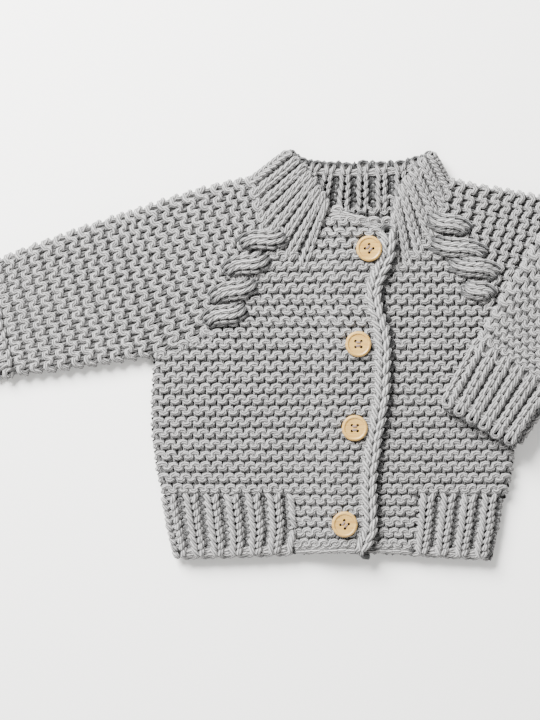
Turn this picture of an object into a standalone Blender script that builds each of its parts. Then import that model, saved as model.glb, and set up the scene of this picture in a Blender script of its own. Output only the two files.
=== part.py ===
"""Baby cardigan, hand-knitted in thick yarn with raglan sleeves, buttoned up and laid flat on its back.

The frame: +Z is up from the surface that the cardigan lies on, +Y runs up the body to the neck, and +X is
towards the wearer's left side. The origin is on the flat underside of the back, near its middle. The lower
layer of cloth rests at Z = 0, and the other layers lie on it, one LAYER higher each. The sizes below are in
millimetres, and each mesh is made in metres.
"""

import math
from collections import namedtuple

import bpy

MM = 0.001

# Cloth
WALL = 3.6  # thickness of the knitted cloth
COLLAR_WALL = 3.2  # of the ribbed collar
LAYER = 5.4  # from the middle of one layer of cloth to the middle of the next
SEAM = 0.3  # gap between pieces
TURN_STEPS = 3  # facets in a quarter turn round an edge
LIP = 0.3  # straight stretch of cloth at the end of a turn
TURN_RADIUS = LAYER / 2 - SEAM / 2 - LIP  # of the middle of the cloth where it turns to the next layer
EDGE = TURN_RADIUS + WALL / 2  # from an outline to the middle of its turn
PANEL_ROWS = 8
TUBE_COLUMNS = 6  # facets across one wall of a sleeve
TUBE_END_STEP = 0.8  # between the columns next to a sleeve's seam
ELBOW_STEPS = 4  # facets round the elbow's fold, up to where the forearm begins
LAP_START = 2.2  # from the front's seam to where the lapped band begins to climb
COLLAR_START = 0.02  # share of a rib's height that the seam to the body takes
BAND_COLUMNS = (0, 0.05, 0.12, 0.2, 0.3, 0.42, 0.56, 0.7, 0.85, 1)  # shares of a band's width

# Buttons
BUTTON_DIAMETER = 18.0
BUTTON_THICKNESS = 3.2
BUTTON_RIM = 2.4  # width of the raised rim
BUTTON_DISH = 0.7  # depth of the dished middle
HOLE_DIAMETER = 2.0
HOLE_SPACING = 4.0  # between neighbouring holes
THREAD = 1.1
KNOT_THICKNESS = 0.25  # of the thread under the button
BUTTON_LIFT = 0.8  # length of thread between the cloth and the button
BUTTON_SIDES = 40
STITCH_RISE = 0.35  # of the thread's stitches above the button's dish

# Raised bands
CHAIN_WIDTH = 9.0
CHAIN_THICKNESS = 5.2
CHAIN_CROWN = 0.5
CHAIN_SINK = 0.2  # below the middle of the third layer
CABLE_THICKNESS = 3.4
CABLE_CROWN = 1.2  # how far the middle of a cable stands above its sides
CABLE_SEGMENTS = 4

Paint = namedtuple("Paint", "colour roughness metallic")
WOOL = Paint((0.36, 0.35, 0.34), 0.95, 0.0)
WOOL_EDGE = Paint((0.42, 0.41, 0.40), 0.95, 0.0)
WOOD = Paint((0.76, 0.53, 0.26), 0.45, 0.0)
COTTON = Paint((0.45, 0.37, 0.36), 0.85, 0.0)

Spot = namedtuple("Spot", "x y")
Button = namedtuple("Button", "x y turned")  # degrees that its holes are turned from square

# Side outlines of the body, from the hem up to the underarm
SIDE_RIGHT = (
    Spot(-113.5, -137), Spot(-119, -115.5), Spot(-123, -94), Spot(-127.5, -77),
    Spot(-131, -49), Spot(-131, -24.5), Spot(-129.5, 2),
)
SIDE_LEFT = (
    Spot(107, -138), Spot(111.5, -115.5), Spot(115, -94), Spot(118.5, -82.5),
    Spot(121, -63), Spot(124, -38.5), Spot(127.5, -17.5), Spot(131.5, 2),
)
# Lower edge of the hem, and the line where its ribbing begins
HEM = (Spot(-113.5, -137), Spot(-73.5, -136), Spot(0, -133), Spot(54, -135), Spot(107, -138))
RIB_TOP = (Spot(-123, -92), Spot(0, -91), Spot(115, -93.5))

# The lapped edge: middle line of the braid from the hem to the neck
BRAID = (
    Spot(12, -134.5), Spot(20, -118), Spot(19.5, -84), Spot(22.5, -56), Spot(28, -28), Spot(29.5, 7),
    Spot(27.5, 23), Spot(24, 34.5), Spot(21.5, 46), Spot(24, 55.5), Spot(28, 64.5), Spot(32, 73),
    Spot(33.2, 84.5), Spot(30.5, 93),
)
# Where each band meets its front, from the hem to the neck
BAND_RIGHT_SIDE = (Spot(-33.5, -134.5), Spot(-33, -91), Spot(-22.5, 67), Spot(-10, 105.5))
BAND_LEFT_SIDE = (Spot(54, -135), Spot(52.5, -91), Spot(36.5, 67), Spot(36, 92))
UNDERLAP = (Spot(-1.5, -134.5), Spot(3.5, 100))  # free edge of the button band, under the lap
NECK_RIGHT = (Spot(-10, 105.5), Spot(3.5, 102), Spot(14, 98.5), Spot(28.5, 93.5))
NECK_LEFT = (Spot(3.5, 100), Spot(14, 97), Spot(26, 93), Spot(36, 92))

# From the band round the collar's base and down the middle of the cable to the underarm
YOKE_RIGHT = (
    Spot(-22.5, 67), Spot(-38, 74), Spot(-48.5, 86), Spot(-66, 64.5), Spot(-75.5, 47),
    Spot(-84, 29.5), Spot(-94.5, 16), Spot(-110.5, 8.5), Spot(-129.5, 2),
)
YOKE_LEFT = (
    Spot(36.5, 67), Spot(42, 65), Spot(49.5, 70), Spot(59, 81), Spot(66, 95), Spot(81, 78.5),
    Spot(91, 64.5), Spot(98.5, 47.5), Spot(107, 28), Spot(117.5, 12.5), Spot(131.5, 2),
)
YOKE_BACK = (
    Spot(-129.5, 2), Spot(-119, 6), Spot(-105, 22.5), Spot(-88, 38.5), Spot(-71.5, 61.5),
    Spot(-54.5, 85.5), Spot(-35, 112), Spot(-16, 107), Spot(3.5, 105), Spot(25, 107), Spot(45.5, 112),
    Spot(65, 84), Spot(80.5, 61.5), Spot(96.5, 38.5), Spot(112, 21), Spot(123, 7), Spot(131.5, 2),
)

# Sleeve stations from the neck to the cuff: a point on the front seam (or underarm), the fold along the
# top of the arm, and a point on the back seam (or underarm). A closed station is a whole tube.
Station = namedtuple("Station", "front fold back closed")
SLEEVE_RIGHT = (
    Station(Spot(-48.5, 86), Spot(-62.5, 128), Spot(-35, 112), False),
    Station(Spot(-66, 64.5), Spot(-80.5, 124), Spot(-54.5, 85.5), False),
    Station(Spot(-75.5, 47), Spot(-101.5, 118.5), Spot(-71.5, 61.5), False),
    Station(Spot(-84, 29.5), Spot(-122.5, 112), Spot(-88, 38.5), False),
    Station(Spot(-94.5, 16), Spot(-136.5, 107), Spot(-105, 22.5), False),
    Station(Spot(-110.8, 9.2), Spot(-147, 103.5), Spot(-119.5, 7.6), False),
    Station(Spot(-130.5, 2.4), Spot(-156, 101), Spot(-130.5, 2.4), True),
    Station(Spot(-161, -2), Spot(-185.5, 90.5), Spot(-161, -2), True),
    Station(Spot(-196, -7), Spot(-218.5, 78.5), Spot(-196, -7), True),
    Station(Spot(-228, -11), Spot(-246.5, 67), Spot(-228, -11), True),
)
SLEEVE_LEFT = (
    Station(Spot(66, 95), Spot(77, 127), Spot(45.5, 112), False),
    Station(Spot(81, 78.5), Spot(87.5, 124), Spot(65, 84), False),
    Station(Spot(91, 64.5), Spot(103.5, 121), Spot(80.5, 61.5), False),
    Station(Spot(98.5, 47.5), Spot(119, 118.5), Spot(96.5, 38.5), False),
    Station(Spot(107, 28), Spot(133, 115.5), Spot(112, 21), False),
    Station(Spot(117.8, 13.2), Spot(143.5, 113.5), Spot(123, 8.6), False),
    Station(Spot(132.5, 2.4), Spot(148.5, 112.6), Spot(132.5, 2.4), True),
    Station(Spot(199, 10.5), Spot(152.5, 112), Spot(199, 10.5), True),
)
FOREARM_LEFT = (
    Station(Spot(199, 10.5), Spot(152.5, 112), Spot(199, 10.5), True),
    Station(Spot(186, -7.5), Spot(131.5, 76.5), Spot(186, -7.5), True),
    Station(Spot(169.5, -18), Spot(110.5, 42), Spot(169.5, -18), True),
    Station(Spot(151, -24), Spot(92.5, 11), Spot(151, -24), True),
)
CUFF_RIGHT = (
    Station(Spot(-230, -10), Spot(-246.5, 62.5), Spot(-230, -10), True),
    Station(Spot(-248.5, -14.5), Spot(-264, 51), Spot(-248.5, -14.5), True),
    Station(Spot(-270, -18), Spot(-284, 40), Spot(-270, -18), True),
)
CUFF_LEFT = (
    Station(Spot(145.5, -24.6), Spot(91.6, 8.4), Spot(145.5, -24.6), True),
    Station(Spot(135, -40.5), Spot(82, -8.5), Spot(135, -40.5), True),
    Station(Spot(124, -56.5), Spot(72, -26.5), Spot(124, -56.5), True),
)

# Collar stations: the seam to the body, and the cast-off edge
Rib = namedtuple("Rib", "base top")
COLLAR_RIGHT = (
    Rib(Spot(-61.5, 127.5), Spot(-39, 144)),
    Rib(Spot(-55.5, 107), Spot(-28, 131.5)),
    Rib(Spot(-48.5, 86), Spot(-20.5, 120.5)),
    Rib(Spot(-38, 74), Spot(-15, 112)),
    Rib(Spot(-22.5, 67), Spot(-10, 105.5)),
)
COLLAR_LEFT = (
    Rib(Spot(75, 126.5), Spot(65, 143)),
    Rib(Spot(70.5, 110.5), Spot(57.5, 136)),
    Rib(Spot(66, 95), Spot(50, 127)),
    Rib(Spot(59, 81), Spot(45, 119)),
    Rib(Spot(49.5, 70), Spot(40.5, 111)),
    Rib(Spot(42, 65), Spot(37.5, 101)),
    Rib(Spot(36.5, 67), Spot(36, 92)),
)
COLLAR_BACK = (
    Rib(Spot(-61.5, 127.5), Spot(-39, 144)),
    Rib(Spot(-48.2, 119.8), Spot(-31, 139)),
    Rib(Spot(-35, 112), Spot(-21.5, 134.5)),
    Rib(Spot(-16, 107), Spot(-9, 133.5)),
    Rib(Spot(3.5, 105), Spot(5, 133)),
    Rib(Spot(25, 107), Spot(25, 133.5)),
    Rib(Spot(45.5, 112), Spot(45, 135)),
    Rib(Spot(60.2, 119.3), Spot(56, 139)),
    Rib(Spot(75, 126.5), Spot(65, 143)),
)

# Middle line of each cable, from the collar to its lower end, with its half width
CableSpot = namedtuple("CableSpot", "x y half")
CABLE_RIGHT = (
    CableSpot(-47.5, 90, 9), CableSpot(-54.5, 80.5, 12), CableSpot(-66, 64.5, 12.5),
    CableSpot(-75.5, 47, 12.5), CableSpot(-83.5, 30, 11), CableSpot(-92, 18, 6),
)
CABLE_LEFT = (
    CableSpot(65, 98, 9), CableSpot(72, 90, 12), CableSpot(81, 78.5, 12.5),
    CableSpot(90, 63, 12), CableSpot(95, 50, 8),
)

BUTTONS = (Button(19.4, 77, 45), Button(12, 11, 0), Button(9.5, -47, 0), Button(2.5, -113.5, 50))


def layer(number):
    """Height of the middle of a layer of cloth, the lowest being 1."""
    return WALL / 2 + (number - 1) * LAYER


def mix(a, b, t):
    return a + (b - a) * t


def ease(t):
    t = min(max(t, 0.0), 1.0)
    return t * t * (3 - 2 * t)


def across(line, y):
    """X of an outline at height y, where y rises along the line, and straight on past its ends."""
    y = min(max(y, line[0].y), line[-1].y)
    for low, high in zip(line, line[1:]):
        if y <= high.y:
            return mix(low.x, high.x, (y - low.y) / (high.y - low.y))
    return line[-1].x


def along(line, x):
    """Y of an edge at a place x, where x rises along the line."""
    x = min(max(x, line[0].x), line[-1].x)
    for low, high in zip(line, line[1:]):
        if x <= high.x:
            return mix(low.y, high.y, (x - low.x) / (high.x - low.x))
    return line[-1].y


def turn_profile():
    """(out, drop) of the cloth's middle round a quarter turn, from flat cloth to its end at the seam."""
    steps = [math.radians(90 * i / TURN_STEPS) for i in range(1, TURN_STEPS + 1)]
    around = [(TURN_RADIUS * math.sin(a), TURN_RADIUS * (1 - math.cos(a))) for a in steps]
    return around + [(TURN_RADIUS, TURN_RADIUS + LIP)]


def painted(name, paint):
    material = bpy.data.materials.new(name)
    material.use_nodes = True
    shader = material.node_tree.nodes["Principled BSDF"]
    shader.inputs["Base Color"].default_value = (*paint.colour, 1)
    shader.inputs["Roughness"].default_value = paint.roughness
    shader.inputs["Metallic"].default_value = paint.metallic
    return material


def finished(name, mesh, paint, sharp=40):
    """Puts a mesh in the scene as the node of this name, shaded smooth but for its sharp edges."""
    mesh.materials.append(painted(name, paint))
    mesh.shade_smooth()
    mesh.set_sharp_from_angle(angle=math.radians(sharp))
    node = bpy.data.objects.new(name, mesh)
    bpy.data.collections["baby_cardigan"].objects.link(node)
    return node


def cloth(name, rows, paint=WOOL, wall=WALL):
    """A piece of cloth: the grid of points in its middle, given row by row, thickened to both sides."""
    width = len(rows[0])
    points = [tuple(value * MM for value in point) for row in rows for point in row]
    faces = [
        (r * width + c, r * width + c + 1, (r + 1) * width + c + 1, (r + 1) * width + c)
        for r in range(len(rows) - 1)
        for c in range(width - 1)
    ]
    mesh = bpy.data.meshes.new(name)
    mesh.from_pydata(points, [], faces)
    mesh.validate()
    node = finished(name, mesh, paint)
    thicken = node.modifiers.new("Thickness", "SOLIDIFY")
    thicken.thickness = wall * MM
    thicken.offset = 0
    thicken.use_even_offset = True
    return node


def panel(name, left, right, bottom, tops, number, turns=(), height=None):
    """A flat piece of the body between two side outlines.

    left and right are outlines, and tops are the points of its upper edge from left to right. turns says
    which of its sides go on round a quarter turn: that of layer 1 turns up and that of layer 2 turns down.
    height(x, y) raises the middle of the cloth, where it lies over something.
    """
    way = 1 if number == 1 else -1
    from_left = EDGE if "left" in turns else SEAM / 2
    from_right = EDGE if "right" in turns else SEAM / 2
    columns = []
    for spot in tops:
        share = (spot.x - across(left, spot.y)) / (across(right, spot.y) - across(left, spot.y))
        foot = along(bottom, mix(across(left, bottom[0].y), across(right, bottom[-1].y), share)) + SEAM / 2
        column = []
        for i in range(PANEL_ROWS + 1):
            y = mix(foot, spot.y - SEAM / 2, i / PANEL_ROWS)
            x = mix(across(left, y), across(right, y), share)
            x = min(max(x, across(left, y) + from_left), across(right, y) - from_right)
            column.append((x, y, layer(number) + (height(x, y) if height else 0)))
        columns.append(column)
    for side, end, out_way in (("left", 0, -1), ("right", -1, 1)):
        if side not in turns:
            continue
        edge = columns[end]
        turned = [
            [(x + out_way * out, y, z + way * drop) for x, y, z in edge] for out, drop in turn_profile()
        ]
        columns = turned[::-1] + columns if side == "left" else columns + turned
    return cloth(name, columns)


def level_line(line, low, high):
    """The stretch of an outline between two heights."""
    inner = [spot for spot in line if low < spot.y < high]
    return (Spot(across(line, low), low), *inner, Spot(across(line, high), high))


def shifted(line, dx=0.0, dy=0.0):
    return tuple(Spot(spot.x + dx, spot.y + dy) for spot in line)


def lap_height(x, y):
    """How far the buttonhole band stands above the front, where it climbs onto the button band."""
    start = across(BAND_RIGHT_SIDE, y) + LAP_START
    end = across(UNDERLAP, y) - WALL / 2
    return LAYER * ease((x - start) / (end - start))


def spread(left, right, top, count):
    """count + 1 spots along a top edge, evenly from left to right."""
    xs = [mix(left, right, i / count) for i in range(count + 1)]
    return tuple(Spot(x, along(top, x)) for x in xs)


def make_body():
    rib_gap = shifted(RIB_TOP, dy=-SEAM / 2)
    panel("back", SIDE_RIGHT, SIDE_LEFT, RIB_TOP, YOKE_BACK, 1, ("left", "right"))
    rib_right = level_line(SIDE_RIGHT, SIDE_RIGHT[0].y, RIB_TOP[0].y)
    rib_left = level_line(SIDE_LEFT, SIDE_LEFT[0].y, RIB_TOP[-1].y)
    hem_tops = spread(RIB_TOP[0].x, RIB_TOP[-1].x, rib_gap, 8)
    panel("back_hem_rib", rib_right, rib_left, HEM, hem_tops, 1, ("left", "right"))

    yoke = YOKE_RIGHT[::-1]
    panel("front_right", SIDE_RIGHT, BAND_RIGHT_SIDE, RIB_TOP, yoke, 2, ("left",))
    tops = spread(RIB_TOP[0].x, BAND_RIGHT_SIDE[1].x, rib_gap, 5)
    panel("front_right_hem_rib", rib_right, BAND_RIGHT_SIDE[:2], HEM, tops, 2, ("left",))
    panel("front_left", BAND_LEFT_SIDE, SIDE_LEFT, RIB_TOP, YOKE_LEFT, 2, ("right",))
    tops = spread(BAND_LEFT_SIDE[1].x, RIB_TOP[-1].x, rib_gap, 4)
    panel("front_left_hem_rib", BAND_LEFT_SIDE[:2], rib_left, HEM, tops, 2, ("right",))


def bands(name, left, right, neck, number, height=None):
    """A front band from the hem to the neck, with rows that follow both its edges."""
    levels = sorted({spot.y for spot in left + right} | set(range(-120, 90, 15)))
    low, high = left[0].y, min(left[-1].y, right[-1].y)
    levels = [y for y in levels if low < y < high - 4]
    rows = []
    for y in [None, *levels, None]:
        edge = HEM if not rows else neck
        row = []
        for share in BAND_COLUMNS:
            level = y
            if level is None:
                level = high
                for _ in range(6):  # settles on the edge, whose height changes with x
                    level = along(edge, mix(across(left, level), across(right, level), share))
            x = mix(across(left, level) + SEAM / 2, across(right, level) - SEAM / 2, share)
            row.append((x, level, layer(number) + (height(x, level) if height else 0)))
        rows.append(row)
    return cloth(name, rows)


def make_bands():
    lap_edge = shifted(BRAID, dx=-CHAIN_WIDTH / 2)
    bands("band_right", BAND_RIGHT_SIDE, lap_edge, NECK_RIGHT, 2, lap_height)
    bands("band_left", UNDERLAP, BAND_LEFT_SIDE, NECK_LEFT, 2)
    half = CHAIN_WIDTH / 2 - 2 * SEAM
    base = layer(3) - CHAIN_SINK
    rows = [
        [(spot.x - half, spot.y, base), (spot.x, spot.y, base + CHAIN_CROWN), (spot.x + half, spot.y, base)]
        for spot in BRAID
    ]
    cloth("front_edge_chain", rows, WOOL_EDGE, CHAIN_THICKNESS)


def ring(station, low, high):
    """One section of a flattened tube, from its front seam over the fold to its back seam.

    low and high are the layers of its two walls. Its points are on the front wall, round the fold and back
    along the lower wall. A closed section also turns at the underarm, where its two ends nearly meet.
    """
    top, bottom = layer(high), layer(low)
    turn = turn_profile()
    parts = []
    for seam, wall in ((station.front, top), (station.back, bottom)):
        run = math.dist(seam, station.fold)
        ux, uy = (station.fold.x - seam.x) / run, (station.fold.y - seam.y) / run
        way = 1 if wall == top else -1
        if station.closed:
            half = [(EDGE - out, wall - way * drop) for out, drop in turn[::-1]]
        else:
            half = [(SEAM / 2 + i * TUBE_END_STEP, wall) for i in range(len(turn))]
        start, end = half[-1][0] + TUBE_END_STEP, run - EDGE
        half += [(mix(start, end, i / TUBE_COLUMNS), wall) for i in range(TUBE_COLUMNS + 1)]
        half += [(end + out, wall - way * drop) for out, drop in turn[:TURN_STEPS - 1]]
        parts.append([(seam.x + ux * w, seam.y + uy * w, z) for w, z in half])
    front, back = parts
    run = math.dist(station.front, station.fold)
    share = (run - WALL / 2) / run
    rim = (
        mix(station.front.x, station.fold.x, share),
        mix(station.front.y, station.fold.y, share),
        (top + bottom) / 2,
    )
    return front + [rim] + back[::-1]


def tube(name, stations, low, high, paint=WOOL, rows_between=2, more=()):
    sections = [ring(station, low, high) for station in stations]
    rows = []
    for first, second in zip(sections, sections[1:]):
        for i in range(rows_between):
            t = i / rows_between
            rows.append([tuple(mix(a, b, t) for a, b in zip(p, q)) for p, q in zip(first, second)])
    rows.append(sections[-1])
    return cloth(name, rows + list(more), paint)


def folded_rows(station, low, high, way):
    """Rows of a tube's end that bends about the elbow fold: up where way is 1, down where it is -1."""
    section = ring(station, low, high)
    axis = layer(1) + 1.5 * LAYER - way * (SEAM / 2 + LIP)
    run = math.dist(station.front, station.fold)
    outward = ((station.fold.y - station.front.y) / run, -(station.fold.x - station.front.x) / run)
    rows = []
    for i in range(1, ELBOW_STEPS + 1):
        angle = math.radians(90 * i / ELBOW_STEPS)
        rows.append([
            (
                x + outward[0] * way * (axis - z) * math.sin(angle),
                y + outward[1] * way * (axis - z) * math.sin(angle),
                axis - (axis - z) * math.cos(angle),
            )
            for x, y, z in section
        ])
    rows.append([(x, y, z + way * LIP) for x, y, z in rows[-1]])
    return rows


def make_sleeves():
    tube("sleeve_right", SLEEVE_RIGHT, 1, 2)
    tube("cuff_right", CUFF_RIGHT, 1, 2)
    elbow = FOREARM_LEFT[0]
    tube("sleeve_left_upper", SLEEVE_LEFT, 1, 2, more=folded_rows(elbow, 1, 2, 1))
    sections = [ring(station, 3, 4) for station in FOREARM_LEFT]
    cloth("sleeve_left_forearm", folded_rows(elbow, 3, 4, -1)[::-1] + sections)
    tube("cuff_left", CUFF_LEFT, 3, 4)


def collar(name, ribs, number, turns):
    """A stretch of the stand collar, from seam to cast-off edge, turned to the next layer at a shoulder."""
    way = 1 if number == 1 else -1
    columns = []
    for rib in ribs:
        columns.append([
            (mix(rib.base.x, rib.top.x, t), mix(rib.base.y, rib.top.y, t), layer(number))
            for t in (COLLAR_START, 0.25, 0.5, 0.75, 1)
        ])
    for end in turns:
        edge, beside = (columns[0], columns[1]) if end == 0 else (columns[-1], columns[-2])
        rib = ribs[end]
        fold = math.dist(rib.base, rib.top)
        out = (-(rib.top.y - rib.base.y) / fold, (rib.top.x - rib.base.x) / fold)

        def slid(distance, drop):
            """The end column moved to this distance inside the fold, along the collar's own lines."""
            moved = []
            for (x, y, z), (near_x, near_y, _) in zip(edge, beside):
                run_x, run_y = near_x - x, near_y - y
                scale = distance / abs(run_x * out[0] + run_y * out[1])
                moved.append((x + run_x * scale, y + run_y * scale, z + way * drop))
            return moved

        turned_columns = [slid(EDGE, 0)] + [slid(EDGE - reach, drop) for reach, drop in turn_profile()]
        if end == 0:
            columns = turned_columns[::-1] + columns[1:]
        else:
            columns = columns[:-1] + turned_columns
    return cloth(name, columns, wall=COLLAR_WALL)


def make_collar():
    collar("collar_back", COLLAR_BACK, 1, (0, -1))
    collar("collar_right", COLLAR_RIGHT, 2, (0,))
    collar("collar_left", COLLAR_LEFT, 2, (0,))


def cable(name, spots):
    """A raised rope band that lies over a raglan seam."""
    low = layer(2) + WALL / 2 + SEAM + CABLE_THICKNESS / 2
    rows = []
    for i, spot in enumerate(spots):
        before, after = spots[max(i - 1, 0)], spots[min(i + 1, len(spots) - 1)]
        run = math.hypot(after.x - before.x, after.y - before.y)
        side = ((after.y - before.y) / run, -(after.x - before.x) / run)
        row = []
        for k in range(CABLE_SEGMENTS + 1):
            place = 2 * k / CABLE_SEGMENTS - 1
            reach = place * spot.half
            row.append((
                spot.x + side[0] * reach,
                spot.y + side[1] * reach,
                low + CABLE_CROWN * (1 - place * place),
            ))
        rows.append(row)
    return cloth(name, rows, WOOL, CABLE_THICKNESS)


def button_profile():
    """Half the section of a button, from the middle of its dished top, round its rim, to its underside."""
    radius = BUTTON_DIAMETER / 2
    thick = BUTTON_THICKNESS
    inner = radius - BUTTON_RIM
    return (
        (0, thick - BUTTON_DISH - 0.2), (inner, thick - BUTTON_DISH), (inner + 0.4, thick - 0.2),
        (radius - 1.5, thick), (radius - 0.9, thick - 0.1), (radius - 0.2, thick - 0.7), (radius, 1.3),
        (radius - 0.3, 0.5), (radius - 1.2, 0), (0, 0),
    )


def turned(name, profile, paint):
    """A solid of revolution about Z: half its section, turned by a Screw modifier."""
    mesh = bpy.data.meshes.new(name)
    edges = [(i, i + 1) for i in range(len(profile) - 1)]
    mesh.from_pydata([(x * MM, 0, z * MM) for x, z in profile], edges, [])
    node = finished(name, mesh, paint, 50)
    turn = node.modifiers.new("Turn", "SCREW")
    turn.steps = turn.render_steps = BUTTON_SIDES
    turn.use_merge_vertices = True
    turn.merge_threshold = 1e-5
    turn.use_smooth_shade = True
    return node


def rod(radius, depth, place, steps=12):
    """A short upright rod, as a helper for a Boolean."""
    bpy.ops.mesh.primitive_cylinder_add(
        vertices=steps, radius=radius * MM, depth=depth * MM, location=[value * MM for value in place]
    )
    return bpy.context.object


def block(size, place, turned=0.0):
    bpy.ops.mesh.primitive_cube_add(size=1, location=[value * MM for value in place])
    made = bpy.context.object
    made.scale = [value * MM for value in size]
    made.rotation_euler.z = turned
    return made


def set_aside(helper):
    """Moves a cutter out of the parts' collection and hides it from renders."""
    for held in list(helper.users_collection):
        held.objects.unlink(helper)
    bpy.data.collections["cutters"].objects.link(helper)
    helper.hide_render = True
    helper.display_type = "WIRE"
    return helper


def combine(node, helper, operation):
    step = node.modifiers.new(operation.title(), "BOOLEAN")
    step.operation = operation
    step.solver = "MANIFOLD"  # EXACT leaves open edges round holes as small as these
    step.object = set_aside(helper)


def make_button(number, button):
    """A four-hole button on the lapped band, and the thread that sews it down."""
    foot = layer(3) + WALL / 2 + BUTTON_LIFT
    angle = math.radians(button.turned)
    reach = HOLE_SPACING / math.sqrt(2)
    turns = [angle + math.radians(45 + 90 * i) for i in range(4)]
    corners = [(reach * math.cos(turn), reach * math.sin(turn)) for turn in turns]
    node = turned(f"button_{number}", button_profile(), WOOD)
    node.location = (button.x * MM, button.y * MM, foot * MM)
    for x, y in corners:
        hole = rod(HOLE_DIAMETER / 2, BUTTON_THICKNESS * 3, (button.x + x, button.y + y, foot))
        combine(node, hole, "DIFFERENCE")

    # two stitches across the middle, down four legs to a knot under the button
    crown = foot + BUTTON_THICKNESS - BUTTON_DISH + STITCH_RISE
    spread_out = HOLE_SPACING + THREAD
    base = block((spread_out, spread_out, KNOT_THICKNESS), (0, 0, 0))
    bpy.ops.object.transform_apply(location=False, rotation=False, scale=True)
    thread = finished(f"button_thread_{number}", base.data, COTTON)
    bpy.data.objects.remove(base)
    knot = foot - SEAM - KNOT_THICKNESS / 2
    thread.location = (button.x * MM, button.y * MM, knot * MM)
    thread.rotation_euler.z = angle
    for x, y in corners:
        leg = rod(THREAD / 2, crown - knot, (button.x + x, button.y + y, (crown + knot) / 2), 8)
        combine(thread, leg, "UNION")
    for side in (-1, 1):
        x = button.x - side * HOLE_SPACING / 2 * math.sin(angle)
        y = button.y + side * HOLE_SPACING / 2 * math.cos(angle)
        stitch = block((spread_out, THREAD * 0.9, 0.6), (x, y, crown - 0.1), angle)
        combine(thread, stitch, "UNION")


def main():
    for old in list(bpy.data.objects):
        bpy.data.objects.remove(old)
    for name in ("baby_cardigan", "cutters"):
        bpy.context.scene.collection.children.link(bpy.data.collections.new(name))
    make_body()
    make_bands()
    make_sleeves()
    make_collar()
    cable("cable_right", CABLE_RIGHT)
    cable("cable_left", CABLE_LEFT)
    for number, button in enumerate(BUTTONS, 1):
        make_button(number, button)


main()
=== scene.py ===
"""A baby's hand-knitted raglan cardigan, laid flat: the yarn of every stitch, wooden buttons and the table.

Run as a script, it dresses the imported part. The sizes are in millimetres and each mesh is made in metres.
"""

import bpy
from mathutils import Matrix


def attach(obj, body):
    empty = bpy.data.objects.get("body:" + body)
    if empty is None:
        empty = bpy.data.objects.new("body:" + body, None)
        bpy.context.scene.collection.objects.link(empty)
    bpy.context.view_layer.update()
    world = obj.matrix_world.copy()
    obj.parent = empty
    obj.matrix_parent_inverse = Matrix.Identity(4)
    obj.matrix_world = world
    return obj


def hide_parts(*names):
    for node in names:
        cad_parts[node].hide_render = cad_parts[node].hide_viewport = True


bl_info = {
    "name": "Knitted baby cardigan",
    "version": (1, 0, 0),
    "blender": (4, 5, 0),
    "location": "3D View > Sidebar > Cardigan",
    "description": "Knits a baby cardigan stitch by stitch on the form of its cloth",
    "category": "Add Mesh",
}

import math
from collections import namedtuple

import bmesh
import bpy
import numpy as np
from mathutils import Vector

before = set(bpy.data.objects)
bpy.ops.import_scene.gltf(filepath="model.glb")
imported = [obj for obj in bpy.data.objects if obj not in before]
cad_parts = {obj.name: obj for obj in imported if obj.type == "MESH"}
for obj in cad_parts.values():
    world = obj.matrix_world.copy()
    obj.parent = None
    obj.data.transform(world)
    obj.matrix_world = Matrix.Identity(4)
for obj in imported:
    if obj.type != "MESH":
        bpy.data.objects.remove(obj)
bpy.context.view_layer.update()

MM = 0.001

# Cloth, as in the part
WALL = 3.6
LAYER = 5.4  # from the middle of one layer of cloth to the middle of the next
FOLD = LAYER / 2  # radius of the cloth's middle round a folded edge
DRAWN_IN = 1.45  # from the faces of the cloth in to those of its dark shell of painted shade
RIM = WALL / 2  # from an outline in to the middle of its fold

# Rows and columns of stitches
GARTER_ROW = 3.87
RIB_ROWS = 9
HEM_START = -131.5  # middle of the hem's first row, whose loops hang down to its edge
BAND_ROWS_BELOW = 12  # rows of the bands below the top of the hem ribs
FRONT_RIGHT_COLUMNS, FRONT_LEFT_COLUMNS, BACK_COLUMNS = 19, 16, 34
JOIN = 0.3  # share of a stitch by which rows that go on into the next piece overlap it
TUCK = 0.6  # and by which rows go under a cable or the collar
ELBOW_ROWS = 3  # rows of each quarter of the turn at the folded elbow
LAP_START = 2.2  # from the band's outer side to where it begins to rise over the lap
COLLAR_STAND = 3.0  # how far the cast-off edge of the front collar stands up
NECK_PAINTED_DARKENING = 1.25  # painted shade: how much darker, in shares of the relief, the stitches deep inside the neck are painted
TAIL = 0.1  # share of a stitch by which the rows of a plait or a cable go on past its sides
SEAM_REACH = 0.4  # share of a stitch by which a sleeve's rows go on past its open seams
HEM_LEVEL = -135.0  # height from which the hem's edge dips and rises

# Chains of loops along the cast-on and cast-off edges
EDGE_INSET = 2.4  # from an edge in to the middle of its chain
EDGE_LIFT = 0.6  # of the chain over the middle of the cloth
EDGE_WIDTH, EDGE_PITCH, EDGE_DOME = 5.0, 5.6, 1.0
COLLAR_EDGE_WIDTH, COLLAR_EDGE_LIFT = 4.4, 0.8

# The plait along the lapped edge, and the crossings of the cables
PLAIT_WIDTH, PLAIT_PITCH, PLAIT_DOME, PLAIT_LIFT = 10.0, 7.8, 1.4, 1.2
CABLE_COLUMN, CABLE_PITCH, CABLE_DOME, CABLE_LIFT = 5.9, 5.6, 3.4, 6.4
CABLE_SWAY = 2.0  # how far a crossing strays from its straight line, to one side and then to the other
CABLE_RISE = 4.2  # how far the middle of a crossing stands above its ends
CABLE_SHADE = 3.0  # depth below its middle at which the side of a plait or a cable is painted as dark as a low stitch, as shade

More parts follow.
